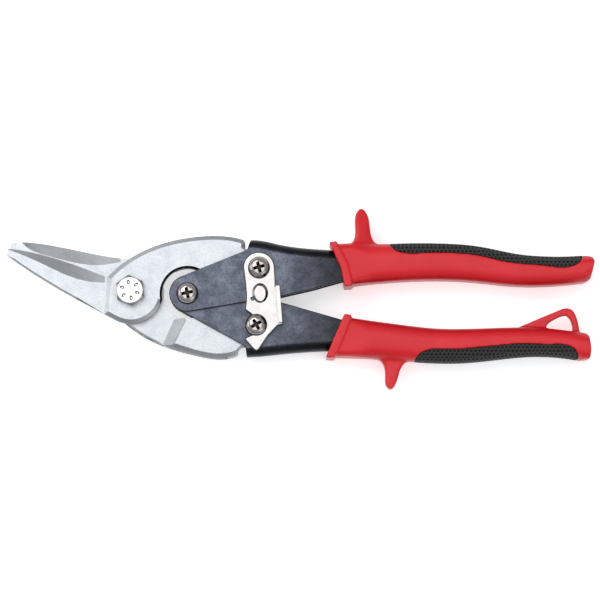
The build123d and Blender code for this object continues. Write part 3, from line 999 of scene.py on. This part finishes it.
@dataclass
class Hexagon:
    """A hexagon of the bolt or of a nut, with its corners turned off and a bore when it is a nut."""

    node: str
    body: str
    flats: float
    turn: float
    bottom: float
    top: float
    bore: float = 0.0
    shank_r: float = 0.0
    lathe_r: float = 0.62
    end_size: float = 0.765
    corner: float = 0.075
    edge: float = 0.12 * MM
    shank_end: float = 0.3 * MM
    shank_chamfer: float = 0.5 * MM
    overlap: float = 0.5 * MM
    mark_ring: float = 3.4 * MM
    mark_turn: float = 4.0
    mark_floor: float = 0.45 * MM
    mark_mouth: float = 1.45 * MM
    mark_tool: float = 0.7 * MM
    mark_scale: Triple = (1.05, 0.68, 1)
    mark_reach: float = 4.9 * MM

    def blank(self) -> Piece:
        """Make the hexagon with its corners turned off.

        Returns:
            The blank.
        """
        centre = middle(self.node)
        height = self.top - self.bottom
        mid = (centre.x, centre.y, (self.top + self.bottom) / 2)
        put_down()
        bpy.ops.mesh.primitive_cylinder_add(
            vertices=SIX_SIDES, radius=self.flats / 2 / math.cos(math.pi / SIX_SIDES), depth=height,
            location=mid, rotation=(0, 0, math.radians(self.turn - 90)))
        piece = settle(newest(f"{self.node}_turned"))
        put_down()
        bpy.ops.mesh.primitive_cylinder_add(
            vertices=FINE_ROUND * 2, radius=self.flats * self.lathe_r, depth=height, location=mid)
        lathe = settle(newest("lathe"))
        pick_faces(lathe, lambda spot, normal: abs(normal.z) > FACING)
        bpy.ops.transform.resize(value=(self.end_size, self.end_size, 1), center_override=mid)
        done_editing()
        pick_edges(lathe, lambda a, b: abs(a.z - b.z) > height / 2)
        bpy.ops.mesh.subdivide(number_cuts=2)
        done_editing()
        for vertex in lathe.data.vertices:
            away = (vertex.co - Vector(mid)).xy
            up = vertex.co.z - mid[2]
            if abs(up) < height * 0.4:
                level = mid[2] + math.copysign(height / 2 - self.flats * self.corner, up)
                wide = away.normalized() * self.flats * self.lathe_r
                vertex.co = (mid[0] + wide.x, mid[1] + wide.y, level)
        carve(piece, lathe, Cut.KEEP_SHARED)
        return piece

    def drill(self, piece: Piece, centre: Vector) -> None:
        """Bore a nut.

        Args:
            piece: the nut.
            centre: a point on the nut's axis.
        """
        put_down()
        bpy.ops.mesh.primitive_cylinder_add(
            vertices=FINE_ROUND, radius=self.bore, depth=2 * (self.top - self.bottom),
            location=(centre.x, centre.y, (self.top + self.bottom) / 2))
        carve(piece, newest("drill"))

    def add_shank(self, piece: Piece, centre: Vector) -> None:
        """Join the bolt's shank to its head.

        Args:
            piece: the bolt's head.
            centre: a point on the bolt's axis.
        """
        put_down()
        length = self.bottom + self.overlap - self.shank_end
        bpy.ops.mesh.primitive_cylinder_add(
            vertices=FINE_ROUND, radius=self.shank_r, depth=length,
            location=(centre.x, centre.y, self.shank_end + length / 2))
        shank = settle(newest("shank"))
        pick_edges(shank, lambda a, b: max(a.z, b.z) < self.shank_end + 0.01 * MM)
        bpy.ops.mesh.bevel(offset=self.shank_chamfer, segments=2, affect="EDGES")
        done_editing()
        carve(piece, shank, Cut.JOIN)

    def mark(self, piece: Piece, centre: Vector) -> None:
        """Sink six radial strokes into the head's face.

        Args:
            piece: the bolt.
            centre: a point on the bolt's axis.
        """
        for number in range(SIX_SIDES):
            angle = math.radians(self.turn + self.mark_turn + 60 * number)
            place = (centre.x + self.mark_ring * math.cos(angle),
                     centre.y + self.mark_ring * math.sin(angle), self.top)
            put_down()
            bpy.ops.mesh.primitive_cone_add(
                vertices=16, radius1=self.mark_floor, radius2=self.mark_mouth, depth=self.mark_tool,
                location=place, rotation=(0, 0, angle), scale=self.mark_scale)
            carve(piece, newest("graver"))

    def build(self, finishes: Finishes) -> None:
        """Model the hexagon, and its bore or its shank and strokes.

        Args:
            finishes: the tool's finishes.
        """
        piece = self.blank()
        centre = middle(self.node)
        if self.bore:
            self.drill(piece, centre)
        if self.shank_r:
            self.add_shank(piece, centre)
            self.mark(piece, centre)
        round_edges(piece, self.edge, angle=28)
        smooth_over(piece, 24)
        finishes.dress(piece, finishes.bolt, finishes.recess)
        # Painted shadow: faces sunk in the head's strokes take the dark recess_shadow finish.
        for face in piece.data.polygons:
            away = (face.center - centre).xy.length
            sunk = self.top - 0.34 * MM < face.center.z < self.top - 0.02 * MM
            face.material_index = int(bool(self.shank_r) and sunk and away < self.mark_reach)
        hand_over(piece, self.body, "bright_plating", self.node)


@dataclass
class Latch:
    """The plated latch: a soft-edged plate with a pressed boss, a small hole and a thumb tab."""

    node: str = "latch_plate"
    thickness: float = 1.5 * MM
    softness: float = 0.5 * MM
    edge: float = 0.15 * MM
    boss: Vector = field(default_factory=lambda: Vector((55.1, -1.2, 17.8)) * MM)
    boss_top: float = 1.2 * MM
    boss_reach: float = 5.2 * MM
    boss_lean: Triple = (0.1 * MM, -0.5 * MM, 0)
    tab_x: float = 61 * MM
    tab_ends: tuple[float, float] = (-14.3 * MM, 2 * MM)
    edge_rise: float = 0.86

    def on_outline(self, spot: Vector) -> bool:
        """Tell the plate's outline from the tab's root and the boss."""
        past_tab = spot.x < self.tab_x or spot.y > self.tab_ends[1] or spot.y < self.tab_ends[0]
        return past_tab and (spot - self.boss).xy.length > self.boss_reach

    def build(self, finishes: Finishes) -> None:
        """Model the latch from its CAD shape.

        Args:
            finishes: the tool's finishes.
        """
        piece = copy_node(self.node, f"{self.node}_pressed")
        flatten(piece)
        pick_faces(piece, lambda spot, normal:
                   normal.z > FACING and (spot - self.boss).length < self.boss_top)
        bpy.ops.transform.translate(value=self.boss_lean)
        done_editing()
        plate_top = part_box(self.node)[0].z + self.thickness
        trim_outline(piece, Rim(plate_top, self.softness, self.on_outline), segments=3)
        round_edges(piece, self.edge, angle=40)
        smooth_over(piece, 40)
        work(piece, "WEIGHTED_NORMAL", keep_sharp=True)
        finishes.dress(piece, finishes.nickel, finishes.recess)
        # Painted shadow: the plate's sloped and upright edge faces take the dark recess_shadow finish, a
        # dark line all round.
        for face in piece.data.polygons:
            in_plate = face.center.z < plate_top + 0.02 * MM
            face.material_index = int(abs(face.normal.z) < self.edge_rise and in_plate)
        hand_over(piece, "latch", "latch_plating", self.node)


# ------------------------------------------------------------------ studio
@dataclass
class Studio:
    """A pale floor, soft light from above, and a long lens looking almost straight down."""

    aim: Vector = field(default_factory=lambda: Vector((72.0, -3.5, 9.0)) * MM)
    field_of_view: float = 255.3 * MM
    elevation: float = 85.0
    lens: float = 200.0
    sensor: float = 36.0
    floor_level: float = -0.1 * MM
    floor_glow: float = 0.45
    sky: float = 0.5
    lamps: tuple[tuple[str, Triple, float, float], ...] = (
        ("key", (-0.5, 0.7, 1.3), 1.0, 8), ("top", (0.1, 0.0, 1.9), 1.6, 9),
        ("fill", (0.9, -0.9, 0.8), 0.8, 2), ("side", (-1.2, 0.1, 0.5), 0.8, 3))

    def floor(self) -> None:
        """Lay the floor."""
        put_down()
        bpy.ops.mesh.primitive_plane_add(size=6.0, location=(0, 0, self.floor_level))
        floor = settle(newest("studio_floor"))
        recipe = Recipe("studio_paper")
        paper = recipe.ramp(recipe.noise(0.4, 2), ((0.3, grey(0.94)), (0.7, grey(0.96))))
        recipe.feed("Base Color", paper)
        recipe.feed("Roughness", 0.9)
        recipe.feed("Emission Color", (1.0, 1.0, 1.0, 1.0))
        recipe.feed("Emission Strength", self.floor_glow)
        floor.data.materials.append(recipe.material)

    def lamp(self, name: str, place: Triple, size: float, power: float) -> None:
        """Hang a square soft light that faces the tool.

        Args:
            name: the lamp's name.
            place: where it hangs, in metres.
            size: its side, in metres.
            power: its power, in watts.
        """
        bpy.ops.object.light_add(type="AREA", location=place)
        lamp = bpy.context.object
        lamp.name = name
        lamp.data.size = size
        lamp.data.energy = power
        lamp.rotation_euler = (Vector(place) - self.aim).to_track_quat("Z", "Y").to_euler()

    def build(self) -> None:
        """Set up floor, lights, sky and camera."""
        self.floor()
        for name, place, size, power in self.lamps:
            self.lamp(name, place, size, power)
        sky = bpy.data.worlds.new("studio_sky")
        sky.use_nodes = True
        backdrop = sky.node_tree.nodes["Background"]
        backdrop.inputs["Color"].default_value = (0.93, 0.95, 1.0, 1.0)
        backdrop.inputs["Strength"].default_value = self.sky
        bpy.context.scene.world = sky
        rise = math.radians(self.elevation)
        back = Vector((0, -math.cos(rise), math.sin(rise)))
        distance = self.field_of_view * self.lens / self.sensor
        bpy.ops.object.camera_add(location=self.aim + back * distance)
        camera = bpy.context.object
        camera.data.lens = self.lens
        camera.data.sensor_width = self.sensor
        camera.data.clip_end = 20
        camera.rotation_mode = "QUATERNION"
        camera.rotation_quaternion = back.to_track_quat("Z", "Y")
        bpy.context.scene.camera = camera
        bpy.context.scene.view_settings.view_transform = "Standard"


def main() -> None:
    """Build every sub-assembly in order."""
    logging.basicConfig(level=logging.INFO, format="%(name)s: %(message)s")
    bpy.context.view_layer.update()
    for scrap in ("Cube", "Light", "Camera"):
        if scrap in bpy.data.objects:
            bpy.data.objects.remove(bpy.data.objects[scrap])
    finishes = Finishes()
    Studio().build()
    nose = middle("nose_bush")
    Jaw("front_jaw", (
        Rim(HUB_TOP, 0.85 * MM, lambda spot: (spot - nose).xy.length > 12.4 * MM
            and spot.xy.length > 7 * MM and spot.x < 50 * MM, fall=0.42 * MM),
    ), (
        Rim(BLADE_TOP, 0.8 * MM, lambda spot: -52 * MM < spot.x < -11.5 * MM),
    ), nose).build(finishes)
    Jaw("rear_jaw", (
        Rim(REAR_TAIL_TOP, 0.8 * MM, lambda spot: spot.y < -20 * MM, fall=0.38 * MM),
    ), (
        Rim(SHEAR_LEVEL, 1.1 * MM, lambda spot: spot.y < -8 * MM and spot.x < 13.5 * MM),
        Rim(SHEAR_LEVEL, 0.5 * MM, lambda spot: spot.y < -22 * MM and 12.5 * MM < spot.x < 42 * MM),
    ), nose).build(finishes)
    for node in ("upper_handle", "lower_handle"):
        Handle(node).build(finishes)
    Grip("upper_grip", "upper_handle", Vector(UPPER_GUARD_ROOT) * MM, 95 * MM).build(finishes)
    Grip("lower_grip", "lower_handle", Vector(LOWER_GUARD_ROOT) * MM, 94 * MM).build(finishes)
    for node, body, turn in (("nose_screw", "upper_handle", 12), ("upper_tail_screw", "upper_handle", 15),
                             ("lower_tail_screw", "lower_handle", 30)):
        PanScrew(node, body, turn).build(finishes)
    Hexagon("pivot_bolt", "front_jaw", 11.4 * MM, 36, HUB_TOP, BOLT_TOP, shank_r=4 * MM).build(finishes)
    Hexagon("pivot_nut", "front_jaw", 11.4 * MM, 36, 0.0, 4.75 * MM, bore=4.02 * MM).build(finishes)
    for node, body, top in (("nose_nut", "upper_handle", 2.85), ("upper_tail_nut", "upper_handle", 4.8),
                            ("lower_tail_nut", "lower_handle", 2.9)):
        Hexagon(node, body, 8 * MM, 0, 0.0, top * MM, bore=2.52 * MM).build(finishes)
    Latch().build(finishes)
    for node in ("nose_bush", "upper_tail_bush", "lower_tail_bush", "keeper_collar"):
        finishes.redress(node, finishes.plain)
    finishes.redress("return_spring", finishes.spring)
    put_down()


if __name__ == "__main__":
    main()
